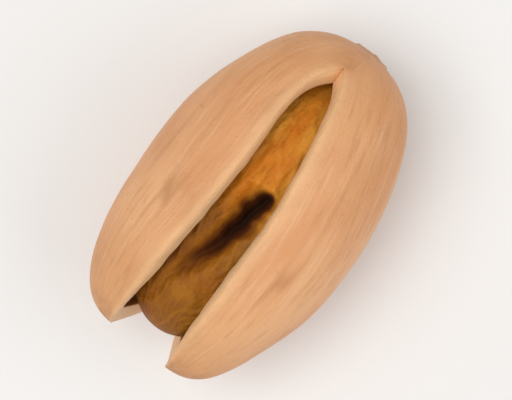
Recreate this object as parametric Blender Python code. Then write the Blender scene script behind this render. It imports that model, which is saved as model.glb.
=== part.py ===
"""A roasted pistachio lying in its split shell, at real size.

The nut rests on a small flat spot, split upwards. X runs along the nut from the
open tip (-X) to the closed base (+X), Y is across the split, and Z = 0 is the
surface that it lies on, below the middle of its length. Units are metres.
"""

import math

import bmesh
import bpy

# Driving dimensions of the closed shell, before its halves sprang apart.
LENGTH = 0.0205
HEIGHT = 0.0125
THICKNESS = 0.0115
WALL = 0.0010

# The split: how wide it gapes at the tip, how fast it closes, and where it ends above and below.
# The halves swing together more gently than the lips of the split do, which bend the last of the way.
TIP_GAP = 0.0038
TOP_CLOSING_POWER = 0.45
SWING_CLOSING_POWER = 1.2
BOTTOM_CLOSING_POWER = 2
LIP_BEND_POWER = 3
SPLIT_END_X = 0.0084
UNDER_SPLIT_END_X = -0.0048

# The top seam veers to one side as it nears the base, from this x to the end of the split.
SEAM_VEER = 0.0008
SEAM_VEER_START_X = 0.0

# Squareness of each end, seen from above (across) and from the side (upright).
# 2 is an ellipse, less is more pointed, and more is blunter.
ACROSS_SQUARENESS = {"tip": 2.15, "base": 2.45}
UPRIGHT_SQUARENESS = {"tip": 1.85, "base": 2.25}
TIP_LIFT = 0.0006

# How far the round underside is worn flat where the nut rests.
FLAT_SPOT_DEPTH = 0.00018

# The kernel lies in the shell with a clear gap all round it.
KERNEL_LENGTH = 0.0170
KERNEL_WIDTH = 0.0086
KERNEL_HEIGHT = 0.0096
KERNEL_CENTRE_X = -0.0001
KERNEL_GAP_BELOW = 0.00035
KERNEL_CREASE_DEPTH = 0.0004
KERNEL_CREASE_HALF_WIDTH = 0.16

STATIONS = 34
STEPS_ROUND_VALVE = 15
KERNEL_SEGMENTS = 28
KERNEL_RINGS = 22

HALF_LENGTH = LENGTH / 2
WELD_DISTANCE = 1e-6


def clear_scene():
    for obj in list(bpy.data.objects):
        bpy.data.objects.remove(obj)


def nut_material(name, colour, roughness):
    material = bpy.data.materials.new(name)
    material.use_nodes = True
    shader = material.node_tree.nodes["Principled BSDF"]
    shader.inputs["Base Color"].default_value = (*colour, 1.0)
    shader.inputs["Roughness"].default_value = roughness
    shader.inputs["Metallic"].default_value = 0.0
    return material


def outline(x, squareness):
    """The share of its full size that the closed shell has at x: a superellipse for each end."""
    power = squareness["tip"] if x < 0 else squareness["base"]
    share = min(abs(x) / HALF_LENGTH, 1.0)
    return (1 - share**power) ** (1 / power)


def top_half_gap(x, closing_power):
    """Half the width of the split above: widest at the tip, and closed near the base."""
    along = (x + HALF_LENGTH) / (SPLIT_END_X + HALF_LENGTH)
    return TIP_GAP / 2 * max(1 - along**2, 0.0) ** closing_power


def bottom_half_gap(x):
    """Half the width of the split below the tip, closing in a fine point."""
    along = (x + HALF_LENGTH) / (UNDER_SPLIT_END_X + HALF_LENGTH)
    return TIP_GAP / 2 * max(1 - along, 0.0) ** BOTTOM_CLOSING_POWER


def seam_veer(x):
    """How far the top seam lies to the +Y side, easing in along a smooth step and fading at the base."""
    eased = (x - SEAM_VEER_START_X) / (SPLIT_END_X - SEAM_VEER_START_X)
    eased = min(max(eased, 0.0), 1.0)
    return SEAM_VEER * eased**2 * (3 - 2 * eased) * outline(x, ACROSS_SQUARENESS)


def tip_lift(x):
    """How far the nut's middle line rises towards the tip."""
    return TIP_LIFT * max(-x / HALF_LENGTH, 0.0) ** 2


def valve_point(x, angle, side):
    """A point of one half's outer skin. The angle runs from the top seam (0) to the bottom seam (pi).

    The closed section is half an oval that stands on its bottom seam. It swings outwards about
    that seam, and its lip bends the rest of the way to the edge of the split.
    """
    across = THICKNESS / 2 * outline(x, ACROSS_SQUARENESS) * math.sin(angle)
    tall = HEIGHT * outline(x, UPRIGHT_SQUARENESS)
    above_seam = tall * (1 + math.cos(angle)) / 2
    below, swung = bottom_half_gap(x), top_half_gap(x, SWING_CLOSING_POWER)
    swing = math.asin(min((swung - below) / tall, 1.0)) if tall > WALL else 0.0
    y = below + across * math.cos(swing) + above_seam * math.sin(swing)
    z = above_seam * math.cos(swing) - across * math.sin(swing)
    seam_z = (HEIGHT - tall) / 2 - FLAT_SPOT_DEPTH + tip_lift(x)
    bend = side * (top_half_gap(x, TOP_CLOSING_POWER) - swung) + seam_veer(x)
    lip_share = ((1 + math.cos(angle)) / 2) ** LIP_BEND_POWER
    return (x, side * y + bend * lip_share, seam_z + z)


def add_valve(mesh, side):
    """One half of the shell's outer skin: rows of points from tip to base, joined by faces."""
    rows = []
    for station in range(STATIONS + 1):
        x = -HALF_LENGTH * math.cos(math.pi * station / STATIONS)
        if station in (0, STATIONS):
            rows.append([mesh.verts.new(valve_point(x, 0.0, side))] * (STEPS_ROUND_VALVE + 1))
            continue
        angles = [math.pi * step / STEPS_ROUND_VALVE for step in range(STEPS_ROUND_VALVE + 1)]
        rows.append([mesh.verts.new(valve_point(x, angle, side)) for angle in angles])
    for row, next_row in zip(rows, rows[1:]):
        for step in range(STEPS_ROUND_VALVE):
            corners = [row[step], row[step + 1], next_row[step + 1], next_row[step]]
            corners = list(dict.fromkeys(corners))
            mesh.faces.new(corners if side < 0 else corners[::-1])


def make_flat_spot_cutter():
    """A block that fills the space below the surface that the nut lies on."""
    mesh = bmesh.new()
    bmesh.ops.create_cube(mesh, size=1.0)
    bmesh.ops.scale(mesh, vec=(2 * LENGTH, 2 * LENGTH, LENGTH), verts=mesh.verts)
    bmesh.ops.translate(mesh, vec=(0, 0, -LENGTH / 2), verts=mesh.verts)
    data = bpy.data.meshes.new("flat_spot_cutter")
    mesh.to_mesh(data)
    mesh.free()
    cutter = bpy.data.objects.new("flat_spot_cutter", data)
    cutter.hide_render = True
    cutter.display_type = "WIRE"
    bpy.context.scene.collection.objects.link(cutter)
    return cutter


def make_shell():
    """Both halves as one skin, welded where the seams are still closed, then given the wall's thickness."""
    mesh = bmesh.new()
    add_valve(mesh, side=1)
    add_valve(mesh, side=-1)
    bmesh.ops.remove_doubles(mesh, verts=mesh.verts, dist=WELD_DISTANCE)
    bmesh.ops.recalc_face_normals(mesh, faces=mesh.faces)
    data = bpy.data.meshes.new("shell")
    mesh.to_mesh(data)
    mesh.free()
    data.materials.append(nut_material("shell_tan", (0.75, 0.50, 0.29), 0.6))
    data.shade_smooth()
    data.set_sharp_from_angle(angle=math.radians(50))
    shell = bpy.data.objects.new("shell", data)
    bpy.context.scene.collection.objects.link(shell)

    wall = shell.modifiers.new("wall", "SOLIDIFY")
    wall.thickness = WALL
    wall.offset = -1.0
    wall.use_even_offset = True

    flat_spot = shell.modifiers.new("flat_spot", "BOOLEAN")
    flat_spot.operation = "DIFFERENCE"
    flat_spot.solver = "EXACT"
    flat_spot.object = make_flat_spot_cutter()
    return shell


def make_kernel():
    """A seed shaped like the closed shell round it, with a shallow crease along its top."""
    centre_z = WALL - FLAT_SPOT_DEPTH + KERNEL_GAP_BELOW + KERNEL_HEIGHT / 2
    mesh = bmesh.new()
    bmesh.ops.create_uvsphere(mesh, u_segments=KERNEL_SEGMENTS, v_segments=KERNEL_RINGS, radius=1.0)
    for vert in mesh.verts:
        # The sphere's poles are turned to the nut's two ends.
        along, across, up = vert.co.z, vert.co.y, -vert.co.x
        ring_radius = max(math.hypot(across, up), WELD_DISTANCE)
        width = KERNEL_WIDTH / 2 * outline(along * HALF_LENGTH, ACROSS_SQUARENESS) / ring_radius
        height = KERNEL_HEIGHT / 2 * outline(along * HALF_LENGTH, UPRIGHT_SQUARENESS) / ring_radius
        crease = max(up, 0.0) * math.exp(-((across / KERNEL_CREASE_HALF_WIDTH) ** 2)) * (1 - along**2)
        vert.co.x = KERNEL_CENTRE_X + KERNEL_LENGTH / 2 * along
        vert.co.y = width * across
        vert.co.z = centre_z + tip_lift(vert.co.x) + height * up - KERNEL_CREASE_DEPTH * crease
    bmesh.ops.recalc_face_normals(mesh, faces=mesh.faces)
    data = bpy.data.meshes.new("kernel")
    mesh.to_mesh(data)
    mesh.free()
    data.materials.append(nut_material("kernel_skin", (0.42, 0.20, 0.06), 0.55))
    data.shade_smooth()
    kernel = bpy.data.objects.new("kernel", data)
    bpy.context.scene.collection.objects.link(kernel)
    return kernel


clear_scene()
make_shell()
make_kernel()
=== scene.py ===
"""A roasted pistachio in its split shell, resting on a pale surface and seen from above."""

import math

import bmesh
import bpy
import numpy as np
from mathutils import Matrix, Vector


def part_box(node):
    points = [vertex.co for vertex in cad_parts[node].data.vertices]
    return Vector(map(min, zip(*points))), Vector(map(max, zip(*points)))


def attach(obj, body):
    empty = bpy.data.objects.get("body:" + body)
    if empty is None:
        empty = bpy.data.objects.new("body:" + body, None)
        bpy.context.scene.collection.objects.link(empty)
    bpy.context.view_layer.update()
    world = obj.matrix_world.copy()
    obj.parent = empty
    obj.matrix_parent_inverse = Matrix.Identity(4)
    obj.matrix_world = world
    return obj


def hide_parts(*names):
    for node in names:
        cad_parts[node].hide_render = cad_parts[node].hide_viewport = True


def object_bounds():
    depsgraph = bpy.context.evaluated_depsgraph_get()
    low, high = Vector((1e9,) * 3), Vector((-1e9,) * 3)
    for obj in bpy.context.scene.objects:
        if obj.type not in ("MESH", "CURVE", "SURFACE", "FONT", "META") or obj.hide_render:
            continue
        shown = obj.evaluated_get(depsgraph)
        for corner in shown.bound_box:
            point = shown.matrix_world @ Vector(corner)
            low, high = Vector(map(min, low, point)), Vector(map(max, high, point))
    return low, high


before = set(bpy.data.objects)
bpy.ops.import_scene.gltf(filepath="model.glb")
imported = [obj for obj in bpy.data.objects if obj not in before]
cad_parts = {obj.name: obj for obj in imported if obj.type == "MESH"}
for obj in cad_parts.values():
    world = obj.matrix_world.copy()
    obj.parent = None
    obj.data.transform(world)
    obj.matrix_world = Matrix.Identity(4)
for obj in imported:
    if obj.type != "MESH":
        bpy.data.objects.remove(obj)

cad_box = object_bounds()


# --- Shell -----------------------------------------------------------------------------
# The hard stone of the fruit: one woody wall about a millimetre thick, grown in two halves
# along a seam. Ripening sprang it open from the tip, so the halves hinge on the blunt base
# and on most of the lower seam. Roasting has dried it to a satin, faintly veined tan.

MM = 0.001
shell_low, shell_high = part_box("shell")
HALF_LENGTH = (shell_high.x - shell_low.x) / 2
CLOSED_HEIGHT = 12.5 * MM
CLOSED_THICKNESS = 11.5 * MM
WALL = 1.0 * MM
FLAT_SPOT_DEPTH = 0.18 * MM
TIP_LIFT = 0.6 * MM

# Squareness of the tip and of the base, seen from above (across) and from the side (upright).
# 2 is an ellipse, less is more pointed, and more is blunter.
ACROSS_POWERS = (2.15, 2.45)
UPRIGHT_POWERS = (1.85, 2.25)

# The split above and below: how wide it gapes, where it ends and how fast it closes. Each wave of
# its edges is a share of the gap, the radians from the tip to the split's end, and a phase.
TIP_GAP = 3.8 * MM
SPLIT_END = 8.4 * MM / HALF_LENGTH
UNDER_SPLIT_END = -4.8 * MM / HALF_LENGTH
EDGE_CLOSING_POWER = 0.45
SWING_CLOSING_POWER = 1.2
UNDER_CLOSING_POWER = 2
CLOSING_SPREAD = 0.6
TAPER_ANGLE = 0.45
TAPER_LENGTH = 0.03
CLOSED_GAP = 0.001 * MM
EDGE_WAVES = ((0.030, 8.0, 1.0), (0.015, 21.0, 2.5), (0.007, 57.0, 1.0), (0.005, 91.0, -1.0))
EDGE_STEP = 0.09
SEAM_VEER = 0.8 * MM

# The lips: how they bend to the split's edge, how far they round off and how far the painted highlight
# along them reaches, both in radians from the seam, and the half gap at which they are rounded off in
# full.
LIP_BEND_POWER = 3
LIP_ROUND_OUTSIDE = 0.055
LIP_ROUND_INSIDE = 0.022
LIP_SQUARENESS = 3.4
LIP_HIGHLIGHT_ANGLE = 0.10
FULL_LIP_GAP = 0.5 * MM

# The skin's small forms. Each vein wave is how often it goes round the nut, a phase, and how fast
# it wanders, in radians for each millimetre along.
VEIN_WAVES = ((7, 0.4, 0.16), (12, 2.0, 0.23), (19, 4.1, 0.14))
VEIN_DEPTH = 0.030 * MM
KEEL_HEIGHT = 0.09 * MM
KEEL_HALF_WIDTH = 0.75 * MM
HAIRLINE_DEPTH = 0.06 * MM
HAIRLINE_HALF_WIDTH = 0.11 * MM
SCAR_RING_HEIGHT = 0.14 * MM
SCAR_RING_RADIUS = 1.05 * MM
SCAR_RING_HALF_WIDTH = 0.28 * MM
SCAR_PIT_DEPTH = 0.42 * MM
SCAR_PIT_RADIUS = 0.6 * MM
SCAR_STAIN_RADIUS = 1.3 * MM
FAR_FROM_SCAR = 9 * MM

SPLIT_STATIONS = 220
BASE_STATIONS = 50
SKIN_STEPS = 108
LIP_STEPS = 12
LINING_STEPS = 34
WELD = 1e-7


def outline(share, powers):
    """How full the nut is at a share of its half length (-1 at the tip, 1 at the base).

    A superellipse, (1 - |share|^power)^(1/power), with one power for each end.
    """
    power = np.where(share < 0, powers[0], powers[1])
    return np.maximum(1 - np.abs(share) ** power, 0.0) ** (1 / power)


def ripple(points, wavelength, seed, stretch=(1, 1, 1), waves=16):
    """Smooth irregular unevenness, about -1 to 1: a sum of sine waves in seeded random directions.

    Each wave is sin(2 pi pace direction . point / (wavelength * stretch) + phase), with its pace
    between 0.7 and 1.4. The sum is divided by 1.6 times its usual size, so that it seldom passes 1.
    """
    draw = np.random.default_rng(seed)
    directions = draw.normal(size=(waves, 3))
    directions /= np.linalg.norm(directions, axis=1)[:, None]
    pace = 2 * np.pi * draw.uniform(0.7, 1.4, waves) / wavelength
    phase = draw.uniform(0, 2 * np.pi, waves)
    scaled = points / np.array(stretch)
    total = np.zeros(points.shape[:-1])
    for direction, rate, start in zip(directions, pace, phase):
        total += np.sin(rate * (scaled @ direction) + start)
    return total / math.sqrt(waves / 2) / 1.6


def bell(distance, width):
    """A smooth bump of height 1 at distance 0, exp(-(distance / width)^2)."""
    return np.exp(-((distance / width) ** 2))


def ease(value, start, end):
    """A smooth step from 0 at start to 1 at end, t^2 (3 - 2t)."""
    t = np.clip((value - start) / (end - start), 0, 1)
    return t * t * (3 - 2 * t)


def grown_place(share, angle, side):
    """Where a point of the skin was before the shell split: an oval section round the middle line.

    It lies sin(angle) of the half thickness across and cos(angle) of the half height up, times the
    outline, with the angle turning from the upper seam (0) to the lower (pi).
    """
    across = CLOSED_THICKNESS / 2 * outline(share, ACROSS_POWERS) * np.sin(angle)
    up = CLOSED_HEIGHT / 2 * outline(share, UPRIGHT_POWERS) * np.cos(angle)
    return np.stack([share * HALF_LENGTH, side * across, up], axis=-1)


def grain_place(share, angle, side):
    """A point's place on the fibres, which run from tip to base: (arc along, round, round).

    The arc is the half length times asin(share), and the turn about the nut's length is laid on
    a cylinder as thick as the nut, so that a pattern read here narrows towards both ends.
    """
    arc = HALF_LENGTH * np.arcsin(np.clip(share, -1, 1))
    radius = CLOSED_THICKNESS / 2
    return np.stack([arc, side * radius * np.sin(angle), radius * np.cos(angle)], axis=-1)


def half_gaps(share, angle, side):
    """Half the width of the split above, of the split below, and of the swing between the halves.

    They are the tip's half gap times c^0.45, (1 - u)^2 and c^1.2. Here u runs from 0 at the tip to
    1 where that split ends, and c is 1 - u^2 at the upper seam, never below 0. Away from that seam
    c turns the corner at the split's end in a hyperbola, (c + hypot(c, spread)) / 2. The edges of
    the upper split wander by a sum of sine waves, and the +Y one stands further in, but not at the
    tip, where all of a half's points meet. Near the seam they taper to the split's end as
    1 - exp(-(1 - u) / length), and a gap under a thousandth of a millimetre is taken as closed.
    """
    u_above = (share + 1) / (SPLIT_END + 1)
    u_below = (share + 1) / (UNDER_SPLIT_END + 1)
    spread = CLOSING_SPREAD * u_above**4 * np.sin(angle / 2)
    closing = (1 - u_above**2 + np.hypot(1 - u_above**2, spread)) / 2
    waves = [height * np.sin(pace * u_above + phase * side) for height, pace, phase in EDGE_WAVES]
    wander = sum(waves) - EDGE_STEP * (side > 0)
    taper = 1 - bell(angle, TAPER_ANGLE) * np.exp(-np.maximum(1 - u_above, 0) / TAPER_LENGTH)
    edge = closing**EDGE_CLOSING_POWER * (1 + wander * np.minimum(6 * u_above, 1)) * taper
    above = np.where(TIP_GAP / 2 * edge > CLOSED_GAP, TIP_GAP / 2 * edge, 0.0)
    below = TIP_GAP / 2 * np.maximum(1 - u_below, 0.0) ** UNDER_CLOSING_POWER
    return above, below, TIP_GAP / 2 * closing**SWING_CLOSING_POWER


def veins(grain):
    """The fine lengthwise furrows, 0 to 1: narrow where a wandering wave round the nut crosses zero.

    The wave is the sum of sin(count * turn + shift + 1.1 sin(pace * along + shift)), and a furrow
    is a bell of it, which a slow ripple deepens and fades.
    """
    turn = np.arctan2(grain[..., 1], grain[..., 2])
    drift = 0.10 * ripple(grain, 8 * MM, 12, stretch=(2, 1, 1))
    along = grain[..., 0] / MM
    total = 0
    for count, shift, pace in VEIN_WAVES:
        total = total + np.sin(count * (turn + drift) + shift + 1.1 * np.sin(pace * along + shift))
    strength = (0.5 + 0.5 * ripple(grain, 4 * MM, 14, stretch=(1.5, 1, 1))).clip(0, 1)
    return bell(total, 0.20) * strength


def scar_distance(place):
    """Distance, across the blunt base, from the middle of the scar where the nut hung from its stalk.

    It is hypot(1.25 y, z + 0.5 mm), so that the scar is taller than it is wide and a little low.
    """
    distance = np.hypot(place[..., 1] * 1.25, place[..., 2] + 0.5 * MM)
    return np.where(place[..., 0] > 0, distance, FAR_FROM_SCAR)


def skin_relief(place, grain):
    """How far the outer skin stands proud of the plain oval.

    It is a sum of a broad swell, two lengthwise ripples, the veins, the keel along the seam with a
    hairline on its crest, and the scar: a low uneven ring round a rough pit.
    """
    fade = outline(place[..., 0] / HALF_LENGTH, (2.0, 2.0))
    from_seam = np.abs(place[..., 1])
    relief = 0.10 * MM * ripple(place, 10 * MM, 3)
    relief += 0.026 * MM * ripple(grain, 3.2 * MM, 5, stretch=(2.4, 1, 1)) * fade
    relief += 0.009 * MM * ripple(grain, 0.9 * MM, 8, stretch=(4.0, 1, 1), waves=30) * fade
    relief -= VEIN_DEPTH * veins(grain) * fade
    keel = KEEL_HEIGHT * bell(from_seam, KEEL_HALF_WIDTH)
    hairline = HAIRLINE_DEPTH * bell(from_seam, HAIRLINE_HALF_WIDTH)
    relief += (keel - hairline) * fade
    scar = scar_distance(place)
    ring = SCAR_RING_HEIGHT * bell(scar - SCAR_RING_RADIUS, SCAR_RING_HALF_WIDTH)
    pit = SCAR_PIT_DEPTH * bell(scar, SCAR_PIT_RADIUS)
    relief += (1 + 0.35 * ripple(place, 1.6 * MM, 20)) * (ring - pit)
    relief += 0.06 * MM * ripple(place, 0.6 * MM, 21) * bell(scar, 1.1 * MM)
    return relief


def wall_place(share, angle, inset, side):
    """A point of one half's wall, at this inset from the plain outer skin.

    The closed section is half an oval standing on the lower seam. It swings outwards about that
    seam by asin((swing gap - gap below) / height), and moves sideways by the gap below. Its lip then
    bends by ((1 + cos angle) / 2)^3 to the edge of the split, which veers to +Y near the base. Past
    the split's end the bend fades, so that every point of the base's last ring is the same.
    """
    reach = HALF_LENGTH - inset
    across = (CLOSED_THICKNESS / 2 - inset) * outline(share, ACROSS_POWERS) * np.sin(angle)
    fullness = outline(share, UPRIGHT_POWERS)
    tall = CLOSED_HEIGHT * fullness
    height_share = (1 + np.cos(angle)) / 2
    above_seam = (CLOSED_HEIGHT - 2 * inset) * fullness * height_share
    above, below, swung = half_gaps(share, angle, side)
    swing = np.arcsin(np.clip((swung - below) / np.maximum(tall, WALL), -1, 1))
    to_edge = side * (above - swung) * (1 - ease(share, SPLIT_END, 1))
    veer = SEAM_VEER * ease(share, 0, SPLIT_END) * outline(share, ACROSS_POWERS)
    bend = (to_edge + veer) * height_share**LIP_BEND_POWER
    y = below + across * np.cos(swing) + above_seam * np.sin(swing)
    z = (above_seam + inset * fullness) * np.cos(swing) - across * np.sin(swing)
    z = z + (CLOSED_HEIGHT - tall) / 2 - FLAT_SPOT_DEPTH + TIP_LIFT * np.maximum(-share, 0.0) ** 2
    return np.stack([share * reach, side * y + bend, np.maximum(z, 0.0)], axis=-1)


def lip_profile():
    """The lip's section from outside to inside: (angle from the seam, share of the wall).

    A squared-off nose: the angle shrinks as 1 - (1 - |2q - 1|^m)^(1/m) while q crosses the wall.
    """
    q = (1 - np.cos(np.pi * np.arange(LIP_STEPS + 1) / LIP_STEPS)) / 2
    nose = (1 - np.abs(2 * q - 1) ** LIP_SQUARENESS) ** (1 / LIP_SQUARENESS)
    rounding = LIP_ROUND_OUTSIDE + (LIP_ROUND_INSIDE - LIP_ROUND_OUTSIDE) * q
    return rounding * (1 - nose), q


def shell_stations():
    """Shares of the half length from tip to base.

    A cosine sets them closer together at both ends of the nut and at the split's end.
    """
    to_split_end = (1 - np.cos(np.pi * np.arange(SPLIT_STATIONS + 1) / SPLIT_STATIONS)) / 2
    to_base = (1 - np.cos(np.pi * np.arange(1, BASE_STATIONS + 1) / BASE_STATIONS)) / 2
    return np.concatenate([(SPLIT_END + 1) * to_split_end - 1, SPLIT_END + (1 - SPLIT_END) * to_base])


def half_shell(side):
    """One half as a grid: stations along the nut by steps round the wall's section.

    Round the section come the outer skin from the upper seam to the lower, the lower lip, the
    lining back up, and the upper lip. Returns the places, the places before it split, the places
    on the fibres, the depth in the wall, and how near each point is to an open lip, which weights
    a painted highlight along the lips. A lip is rounded by the square root of its gap, up to the
    full rounding.
    """
    share = shell_stations()[:, None]
    above, below, _ = half_gaps(share, 0, side)
    open_above = np.clip(above / FULL_LIP_GAP, 0, 1) ** 0.5
    open_below = np.clip(below / FULL_LIP_GAP, 0, 1) ** 0.5
    lip_angle, lip_depth = lip_profile()
    down = np.linspace(0, 1, SKIN_STEPS + 1)[None, :]
    skin_start, skin_end = lip_angle[0] * open_above, np.pi - lip_angle[0] * open_below
    skin_angle = skin_start + (skin_end - skin_start) * down
    up = np.linspace(1, 0, LINING_STEPS + 1)[None, :]
    lining_start, lining_end = lip_angle[-1] * open_above, np.pi - lip_angle[-1] * open_below
    lining_angle = lining_start + (lining_end - lining_start) * up
    low_lip_angle = np.pi - lip_angle[None, 1:-1] * open_below
    top_lip_angle = lip_angle[None, 1:-1][:, ::-1] * open_above
    angle = np.concatenate([skin_angle, low_lip_angle, lining_angle, top_lip_angle], axis=1)
    depth = np.concatenate(
        [np.zeros(SKIN_STEPS + 1), lip_depth[1:-1], np.ones(LINING_STEPS + 1), lip_depth[1:-1][::-1]]
    )
    depth = np.broadcast_to(depth[None, :], angle.shape)
    shares = np.broadcast_to(share, angle.shape)
    place, grain = grown_place(shares, angle, side), grain_place(shares, angle, side)
    from_seam = np.abs(place[..., 1])
    lining_relief = 0.05 * MM * ripple(place, 5 * MM, 31) - 0.12 * MM * bell(from_seam, 1.6 * MM)
    relief = skin_relief(place, grain) * (1 - depth) + lining_relief * depth
    # The skin along each open lip gets a painted highlight: a pale band where light catches its rounded
    # edge.
    painted_lip_highlight = bell(angle, LIP_HIGHLIGHT_ANGLE) * open_above + bell(np.pi - angle, LIP_HIGHLIGHT_ANGLE) * open_below
    return wall_place(shares, angle, WALL * depth - relief, side), place, grain, depth, painted_lip_highlight


def closed_grid_quads(stations, around):
    """Quads of a grid of stations by steps, joined round each station's section: row by step by 4."""
    station, step = np.meshgrid(np.arange(stations - 1), np.arange(around), indexing="ij")
    next_step = (step + 1) % around
    corners = [(station, step), (station, next_step), (station + 1, next_step), (station + 1, step)]
    return np.stack([row * around + column for row, column in corners], axis=-1)


def half_shell_quads(side):
    """Quads of one half's grid, leaving out the lips where the seam above or below is still closed."""
    above, below, _ = half_gaps(shell_stations()[:, None], 0, side)
    step = np.arange(SKIN_STEPS + LINING_STEPS + 2 * LIP_STEPS)
    low_lip = (step >= SKIN_STEPS) & (step < SKIN_STEPS + LIP_STEPS)
    top_lip = step >= SKIN_STEPS + LIP_STEPS + LINING_STEPS
    kept = ~(low_lip & (below[:-1] <= 0)) & ~(top_lip & (above[:-1] <= 0))
    quads = closed_grid_quads(len(above), len(step))[kept]
    return quads if side > 0 else quads[:, ::-1]


def welded_mesh(name, points, quads, attributes):
    """A mesh of these points and quads, with a number or a vector per point for each attribute.

    Points that coincide are welded, which closes the seams and the ends. Unused ones are removed.
    """
    mesh = bpy.data.meshes.new(name)
    mesh.from_pydata(points.reshape(-1, 3).tolist(), [], quads.tolist())
    for attribute, values in attributes.items():
        plain = values.size == len(mesh.vertices)
        kind, field = ("FLOAT", "value") if plain else ("FLOAT_VECTOR", "vector")
        layer = mesh.attributes.new(attribute, kind, "POINT")
        layer.data.foreach_set(field, np.ascontiguousarray(values.reshape(-1), np.float32))
    form = bmesh.new()
    form.from_mesh(mesh)
    bmesh.ops.remove_doubles(form, verts=form.verts, dist=WELD)
    bmesh.ops.delete(form, geom=[vert for vert in form.verts if not vert.link_faces], context="VERTS")
    bmesh.ops.recalc_face_normals(form, faces=form.faces)
    form.to_mesh(mesh)
    form.free()
    mesh.shade_smooth()
    return mesh


halves = [half_shell(1), half_shell(-1)]
shell_points, shell_grown, shell_grain, shell_depth, shell_lip_highlight = (
    np.concatenate([plus.reshape(-1, *plus.shape[2:]), minus.reshape(-1, *minus.shape[2:])])
    for plus, minus in zip(*halves)
)
shell_quads = np.concatenate([half_shell_quads(1), half_shell_quads(-1) + len(shell_points) // 2])
shell_mesh = welded_mesh(
    "shell_skin",
    shell_points,
    shell_quads,
    {
        "grain": shell_grain,
        "wall_depth": shell_depth,
        "painted_lip_highlight": shell_lip_highlight,
        "vein": veins(shell_grain),
        "seam": bell(shell_grown[:, 1], 0.45 * MM),
        "scar": bell(scar_distance(shell_grown), SCAR_STAIN_RADIUS),
        "along": shell_grown[:, 0] / HALF_LENGTH,
        "girth": outline(shell_grown[:, 0] / HALF_LENGTH, (2.0, 2.0)),
    },
)
shell = bpy.data.objects.new("nut_shell", shell_mesh)
bpy.context.scene.collection.objects.link(shell)


def colour(code):
    """Linear red, green, blue and alpha from a six-digit colour code."""
    values = [int(code[i : i + 2], 16) / 255 for i in (0, 2, 4)]
    return [v / 12.92 if v <= 0.04045 else ((v + 0.055) / 1.055) ** 2.4 for v in values] + [1.0]


class Wire:
    """A socket in a material. Arithmetic on wires adds Math nodes, and add() puts in any other node."""

    def __init__(self, tree, socket=None):
        self.tree = tree
        self.socket = socket

    def add(self, kind, settings, inputs, output=0):
        """A node of this kind: its settings first, then the values or wires of its inputs."""
        node = self.tree.nodes.new("ShaderNode" + kind)
        for name, value in settings.items():
            setattr(node, name, value)
        for name, value in inputs.items():
            if isinstance(value, Wire):
                self.tree.links.new(value.socket, node.inputs[name])
            else:
                node.inputs[name].default_value = value
        return Wire(self.tree, node.outputs[output])

    def maths(self, operation, *terms):
        """A Math node on wires and numbers, in this order."""
        return self.add("Math", {"operation": operation}, dict(enumerate(terms)))

    def __add__(self, other):
        return self.maths("ADD", self, other)

    def __mul__(self, other):
        return self.maths("MULTIPLY", self, other)

    def __sub__(self, other):
        return self.maths("SUBTRACT", self, other)

    def __rsub__(self, other):
        return self.maths("SUBTRACT", other, self)

    __radd__ = __add__
    __rmul__ = __mul__

    def between(self, low, high):
        """0 below low, 1 above high, and smooth in between."""
        settings = {"interpolation_type": "SMOOTHSTEP"}
        return self.add("MapRange", settings, {"Value": self, "From Min": low, "From Max": high})

    def attribute(self, name):
        """A number that the mesh carries at each point."""
        return self.add("Attribute", {"attribute_name": name}, {}, "Fac")

    def grain(self):
        """Where a point lies on the grain, which a pattern follows from end to end."""
        return self.add("Attribute", {"attribute_name": "grain"}, {}, "Vector")

    def body(self):
        """Where a point lies in the nut's own space, for a pattern that should not narrow at the ends."""
        return self.add("TexCoord", {}, {}, "Object")

    def noise(self, where, waves, detail=4.0, roughness=0.55):
        """Cloudy noise, with this many waves to a millimetre along the nut and across it."""
        along, across = (count / MM for count in waves)
        scaled = self.add("VectorMath", {"operation": "MULTIPLY"}, {0: where, 1: (along, across, across)})
        inputs = {"Vector": scaled, "Scale": 1.0, "Detail": detail, "Roughness": roughness}
        return self.add("TexNoise", {}, inputs)

    def mix(self, share, first, second):
        """One colour turning into another as the share goes from 0 to 1. Each is a wire or a code.

        A Mix node's inputs 0, 6 and 7 are its factor and its two colours, and output 2 is the colour.
        """
        ends = [end if isinstance(end, Wire) else colour(end) for end in (first, second)]
        return self.add("Mix", {"data_type": "RGBA"}, {0: share, 6: ends[0], 7: ends[1]}, 2)

    def bump(self, height, strength, distance):
        """A surface direction leaning with this height, for relief too fine to be in the mesh."""
        return self.add("Bump", {}, {"Strength": strength, "Distance": distance, "Height": height})

    def surface(self, inputs):
        """The material's shader with these inputs, joined to its output."""
        shader = self.add("BsdfPrincipled", {}, inputs)
        output = self.tree.nodes.new("ShaderNodeOutputMaterial")
        self.tree.links.new(shader.socket, output.inputs["Surface"])


def new_finish(name):
    """An empty material and the wire that its nodes start from."""
    material = bpy.data.materials.new(name)
    material.use_nodes = True
    material.node_tree.nodes.clear()
    return material, Wire(material.node_tree)


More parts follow.
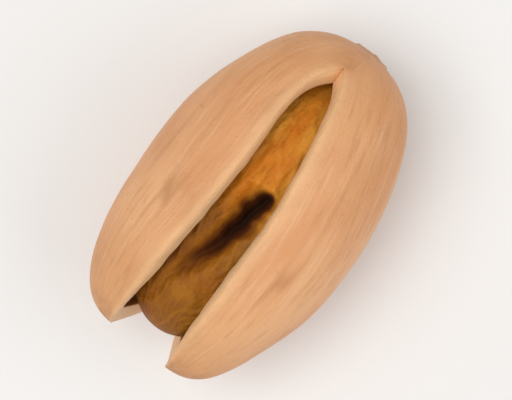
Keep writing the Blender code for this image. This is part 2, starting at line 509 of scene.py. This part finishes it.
def shell_finish():
    """Satin tan with soft clouds and faint lengthwise fibres, pale cut lips with a painted highlight
    along them, and brown at the scar.
    """
    material, w = new_finish("roasted_shell")
    depth = w.attribute("wall_depth")
    along = w.attribute("along")
    girth = w.attribute("girth").between(0.15, 0.75)
    lining = depth.between(0.90, 1.0)
    lip = depth.between(0.03, 0.20) * (1 - lining)
    body = w.body()
    clouds = w.noise(body, (0.10, 0.20), 2.0)
    mottle = w.noise(body, (0.45, 0.85), 5.0, 0.6)
    stains = w.noise(body, (0.18, 0.30), 6.0, 0.65)
    flecks = w.noise(body, (2.6, 3.4), 3.0, 0.6)
    grit = w.noise(body, (9.0, 9.0), 2.0)
    fibres = w.noise(w.grain(), (0.22, 3.6), 4.0, 0.6)
    dark_fibres = fibres.between(0.50, 0.72) * mottle.between(0.35, 0.65) * girth
    pale_fibres = (1 - fibres).between(0.52, 0.72) * girth
    tone = w.mix(clouds.between(0.36, 0.64), "dd9b67", "ebb07d")
    tone = w.mix(along.between(-0.2, 0.95) * 0.40, tone, "cf8f58")
    tone = w.mix((1 - along).between(1.40, 1.95) * 0.40, tone, "c98d55")
    tone = w.mix(mottle.between(0.50, 0.74) * 0.28, tone, "d2955f")
    tone = w.mix(dark_fibres * 0.38, tone, "b87c4a")
    tone = w.mix(pale_fibres * 0.28, tone, "f5cda6")
    tone = w.mix(stains.between(0.58, 0.70) * 0.30, tone, "b97f4c")
    tone = w.mix(w.attribute("vein") * girth * 0.40, tone, "ac7143")
    tone = w.mix(flecks.between(0.64, 0.76) * 0.30, tone, "a46a3a")
    tone = w.mix(w.attribute("seam") * mottle.between(0.35, 0.60) * 0.45, tone, "ac7141")
    tone = w.mix(w.attribute("scar") * (0.30 + 0.60 * flecks.between(0.35, 0.60)), tone, "7c4b2a")
    tone = w.mix((1 - along).between(1.86, 2.0) * mottle.between(0.40, 0.65) * 0.45, tone, "9c6636")
    # Painted highlight: a pale band on the skin along each open lip.
    tone = w.mix(w.attribute("painted_lip_highlight") * (0.45 + 0.40 * fibres), tone, "f4c28e")
    tone = w.mix(lip * (0.65 + 0.35 * flecks), tone, "f6cd9c")
    tone = w.mix(lining * (0.65 + 0.30 * mottle), tone, "b2783f")
    rough = 0.38 + 0.24 * mottle
    height = fibres * girth * 0.6 + flecks * 0.5 + grit * 0.35 + mottle * 0.3
    bump = w.bump(height, 0.8, 0.12 * MM)
    w.surface({"Base Color": tone, "Roughness": rough, "Normal": bump, "Specular IOR Level": 0.4})
    return material


shell.data.materials.append(shell_finish())
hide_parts("shell")
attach(shell, "root")


# --- Kernel ----------------------------------------------------------------------------
# The seed, lying loose in the shell in its thin papery skin. Roasting has shrunk the skin on
# to the seed, so it is wrinkled lengthwise, and the seed's two halves have cracked apart on top.

# The kernel fills the CAD one's box, and its tip reaches a little further towards the split's mouth.
kernel_low, kernel_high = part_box("kernel")
KERNEL_REACH = np.array((0.35 * MM, 0, 0))
KERNEL_LOW = np.array(kernel_low) - KERNEL_REACH
KERNEL_MIDDLE = (KERNEL_LOW + np.array(kernel_high)) / 2
KERNEL_HALF = (np.array(kernel_high) - KERNEL_LOW) / 2
KERNEL_STATIONS = 260
KERNEL_STEPS = 300

# The crack slants over the top from its fine start near the tip to its wide, blunt end.
CRACK_START_X = -7.6 * MM
CRACK_END_X = 1.15 * MM
CRACK_START_Y = 1.15 * MM
CRACK_END_Y = -0.80 * MM
CRACK_START_HALF_WIDTH = 0.20 * MM
CRACK_END_HALF_WIDTH = 0.65 * MM
CRACK_DEPTH = 2.0 * MM
CRACK_SIDE_POWER = 1.6

# The skin's wrinkles stand on a seed that has shrunk, and that is fuller or drawn in in places.
SHRINKAGE = 0.24 * MM
BROAD_WRINKLE = 0.22 * MM
FINE_WRINKLE = 0.14 * MM
TOP_GROOVE = 0.12 * MM
TOP_WIDENING = 0.10
BASE_FULLNESS = 0.20 * MM
TIP_DRAW_IN = 0.20 * MM
UNDERSIDE_DRAW_IN = 0.46 * MM


def crack(x, y):
    """Depth, 0 to 1, of the crack between the seed's halves: fine near the tip, wide where it ends.

    Across a line that slants over the seed it falls away as exp(-(|distance| / half width)^1.6),
    which gives it steep sides and rounded shoulders. Its end stands up almost like a wall.
    """
    along = np.clip((x - CRACK_START_X) / (CRACK_END_X - CRACK_START_X), 0, 1)
    seen = np.stack([x, y], axis=-1) @ np.eye(2, 3)
    middle = CRACK_START_Y + (CRACK_END_Y - CRACK_START_Y) * along
    middle = middle + 0.14 * MM * np.sin(7 * along + 0.5) + 0.07 * MM * ripple(seen, 1.5 * MM, 38)
    uneven = 1 + 0.16 * ripple(seen, 2.4 * MM, 39) + 0.09 * ripple(seen, 0.7 * MM, 45)
    widening = CRACK_START_HALF_WIDTH + (CRACK_END_HALF_WIDTH - CRACK_START_HALF_WIDTH) * along
    half_width = widening * uneven * np.sqrt(1 - along**12) + 0.02 * MM
    deepening = ease(along, 0, 0.75) * (1 - ease(along, 0.955, 1.0))
    valley = np.exp(-((np.abs(y - middle) / half_width) ** CRACK_SIDE_POWER))
    return valley * (0.12 + 0.88 * deepening) * (along > 0) * (along < 1)


def ridges(place, wavelength, seed, stretch):
    """Narrow crests and round valleys, 0 to 1: one minus the size of a ripple, a little blunted."""
    size = np.abs(ripple(place, wavelength, seed, stretch, waves=24)).clip(0, 1)
    return 1 - np.sqrt(size**2 + 0.02)


def kernel_form():
    """A blunt seed: superellipse outline along it, oval section, drawn in and out by its wrinkles.

    Both radii of the section grow by the relief: ripples and lengthwise wrinkles, less the
    shrinkage and a groove along the top, with more towards the base and less round the tip.
    The section is up to a tenth wider towards its top, and the crack is cut straight down into it.
    Returns the places, the places on the grain, the crack, the wrinkles and the share along.
    """
    share = -np.cos(np.pi * np.arange(KERNEL_STATIONS + 1) / KERNEL_STATIONS)[:, None]
    turn = 2 * np.pi * np.arange(KERNEL_STEPS)[None, :] / KERNEL_STEPS
    share, turn = np.broadcast_arrays(share, turn)
    x = share * KERNEL_HALF[0]
    y = KERNEL_HALF[1] * outline(share, ACROSS_POWERS) * np.sin(turn)
    z = KERNEL_HALF[2] * outline(share, UPRIGHT_POWERS) * np.cos(turn)
    place = np.stack([x, y, z], axis=-1)
    round_place = KERNEL_HALF[1] * np.stack([np.sin(turn), np.cos(turn)], axis=-1)
    grain = np.concatenate([KERNEL_HALF[0] * np.arcsin(share)[..., None], round_place], axis=-1)
    fade = outline(share, (2.0, 2.0))
    upper = np.clip(z / KERNEL_HALF[2], 0, 1)
    tip_part = 1 - ease(x, -2.0 * MM, 1.5 * MM)
    warped = grain + 0.35 * MM * ripple(grain, 4 * MM, 40)[..., None]
    broad = ridges(warped, 2.0 * MM, 41, (4.5, 1, 1))
    fine = ridges(warped, 0.75 * MM, 44, (4.0, 1, 1))
    wrinkle = (0.60 * broad + 0.40 * fine) * np.sqrt(fade)
    uneven = 0.12 * MM * ripple(place, 7 * MM, 43) + 0.05 * MM * ripple(place, 1.3 * MM, 47)
    wrinkle_height = (BROAD_WRINKLE * broad + FINE_WRINKLE * fine) * np.sqrt(fade)
    relief = uneven - SHRINKAGE + wrinkle_height * (0.65 + 0.35 * tip_part)
    relief = relief + 0.026 * MM * ripple(warped, 0.40 * MM, 46, (3.0, 1, 1), waves=30) * fade
    relief = relief - TOP_GROOVE * bell(y, 0.40 * MM) * fade
    fuller = BASE_FULLNESS * bell(x - 4.2 * MM, 3.6 * MM)
    relief = relief + upper * (fuller - TIP_DRAW_IN * tip_part * fade)
    lower = np.clip(-2 * z / KERNEL_HALF[2], 0, 1)
    relief = relief - UNDERSIDE_DRAW_IN * lower * bell(x + 7.2 * MM, 2.2 * MM)
    cut = crack(x, y) * upper
    grow = 1 + relief / KERNEL_HALF[2]
    place = np.stack([x, y * (grow + TOP_WIDENING * upper), z * grow - CRACK_DEPTH * cut], axis=-1)
    return place + KERNEL_MIDDLE, grain, cut, wrinkle, share


kernel_points, kernel_grain, kernel_cut, kernel_wrinkle, kernel_share = kernel_form()
kernel_mesh = welded_mesh(
    "kernel_skin",
    kernel_points,
    closed_grid_quads(KERNEL_STATIONS + 1, KERNEL_STEPS).reshape(-1, 4),
    {
        "grain": kernel_grain,
        "crack": kernel_cut,
        "wrinkle": kernel_wrinkle,
        "along": kernel_share,
        "girth": outline(kernel_share, (2.0, 2.0)),
    },
)
kernel = bpy.data.objects.new("nut_kernel", kernel_mesh)
bpy.context.scene.collection.objects.link(kernel)


def kernel_finish():
    """Thin roasted seed skin: orange-gold, browner towards the tip, with painted shade in its wrinkles
    and its crack.
    """
    material, w = new_finish("roasted_seed_skin")
    body = w.body()
    clouds = w.noise(body, (0.22, 0.5), 3.0)
    patches = w.noise(body, (0.35, 0.7), 4.0, 0.6)
    flecks = w.noise(body, (2.8, 3.8), 3.0, 0.6)
    girth = w.attribute("girth").between(0.15, 0.75)
    streaks = w.noise(w.grain(), (0.5, 2.4), 5.0, 0.65) * girth
    towards_tip = 1 - w.attribute("along").between(-0.25, 0.15)
    valley = (1 - w.attribute("wrinkle")).between(0.30, 1.0)
    cut = w.attribute("crack")
    tone = w.mix(clouds.between(0.38, 0.62), "d37c1a", "e79f36")
    tone = w.mix(towards_tip * 0.85, tone, "9c6010")
    tone = w.mix(patches.between(0.48, 0.66) * (0.20 + 0.35 * towards_tip), tone, "804316")
    tone = w.mix(streaks.between(0.48, 0.70) * 0.32, tone, "935014")
    # Painted shade: darker in the valleys between the wrinkles, where shade falls.
    tone = w.mix(valley * (0.20 + 0.25 * towards_tip), tone, "6f3a10")
    tone = w.mix(flecks.between(0.58, 0.74) * 0.35, tone, "5e2c10")
    # Painted shade in the crack: brown on its shoulders, darker down its sides and nearly black at its
    # floor.
    tone = w.mix(cut.between(0.10, 0.34) * 0.60, tone, "733a0b")
    tone = w.mix(cut.between(0.30, 0.56), tone, "5c2d0a")
    tone = w.mix(cut.between(0.55, 0.98) * 0.90, tone, "1f0d03")
    rough = 0.42 + 0.25 * flecks + 0.3 * cut.between(0.05, 0.4)
    bump = w.bump(streaks * 0.6 + flecks * 0.4, 0.8, 0.16 * MM)
    w.surface({"Base Color": tone, "Roughness": rough, "Normal": bump, "Specular IOR Level": 0.2})
    return material


kernel.data.materials.append(kernel_finish())
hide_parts("kernel")
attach(kernel, "root")


# --- Surface, light and camera -----------------------------------------------------------
# A broad sheet of pale card just under the nut, a big soft lamp nearly overhead with a weaker
# one opposite, and a long lens looking down into the split, leaning a little to one side.

CARD_HALF_WIDTH = 4.0
CARD_DROP = 0.02 * MM
LENS = 135.0
VIEW_TILT = math.radians(3.5)
VIEW_ROLL = math.radians(51)
VIEW_DISTANCE = 106 * MM
SKY_STRENGTH = 0.47


def card_finish():
    """Smooth pale card with the faintest clouding."""
    material, w = new_finish("pale_card")
    tone = w.mix(w.noise(w.body(), (0.008, 0.008)).between(0.3, 0.7), "f2f1ef", "efeeec")
    w.surface({"Base Color": tone, "Roughness": 0.85})
    return material


card_corners = np.array([(-1, -1), (1, -1), (1, 1), (-1, 1)]) * CARD_HALF_WIDTH
card_mesh = bpy.data.meshes.new("card")
card_mesh.from_pydata([(x, y, -CARD_DROP) for x, y in card_corners], [], [(0, 1, 2, 3)])
card_mesh.materials.append(card_finish())
card = bpy.data.objects.new("card", card_mesh)
bpy.context.scene.collection.objects.link(card)


def soft_lamp(name, direction, distance, size, power, tone):
    """A square soft box that faces the nut from this direction."""
    light = bpy.data.lights.new(name, "AREA")
    light.shape = "SQUARE"
    light.size = size
    light.energy = power
    light.color = tone
    lamp = bpy.data.objects.new(name, light)
    towards = Vector(direction).normalized()
    lamp.location = towards * distance
    lamp.rotation_euler = towards.to_track_quat("Z", "Y").to_euler()
    bpy.context.scene.collection.objects.link(lamp)


soft_lamp("key_lamp", (-0.25, 0.20, 1.0), 0.5, 0.35, 1.35, (1.0, 0.99, 0.98))
soft_lamp("fill_lamp", (0.35, -0.9, 0.8), 0.6, 0.50, 0.9, (0.97, 0.98, 1.0))

world = bpy.data.worlds.new("studio")
world.use_nodes = True
sky = world.node_tree.nodes["Background"]
sky.inputs["Color"].default_value = (1.0, 1.0, 1.0, 1.0)
sky.inputs["Strength"].default_value = SKY_STRENGTH
bpy.context.scene.world = world
bpy.context.scene.view_settings.view_transform = "Standard"

# The nut's length rises to the right in the picture, so the picture's own right and up are
# the nut's axes turned back by the roll.
nut_middle = (Vector(cad_box[0]) + Vector(cad_box[1])) / 2
back = Vector((0, -math.sin(VIEW_TILT), math.cos(VIEW_TILT)))
across_view = Vector((0, math.cos(VIEW_TILT), math.sin(VIEW_TILT)))
right = Vector((math.cos(VIEW_ROLL), 0, 0)) - math.sin(VIEW_ROLL) * across_view
camera_data = bpy.data.cameras.new("camera")
camera_data.lens = LENS
camera_data.clip_start = 0.005
camera = bpy.data.objects.new("camera", camera_data)
turn = Matrix((right, back.cross(right), back)).transposed()
camera.matrix_world = Matrix.Translation(nut_middle + back * VIEW_DISTANCE) @ turn.to_4x4()
bpy.context.scene.collection.objects.link(camera)
bpy.context.scene.camera = camera
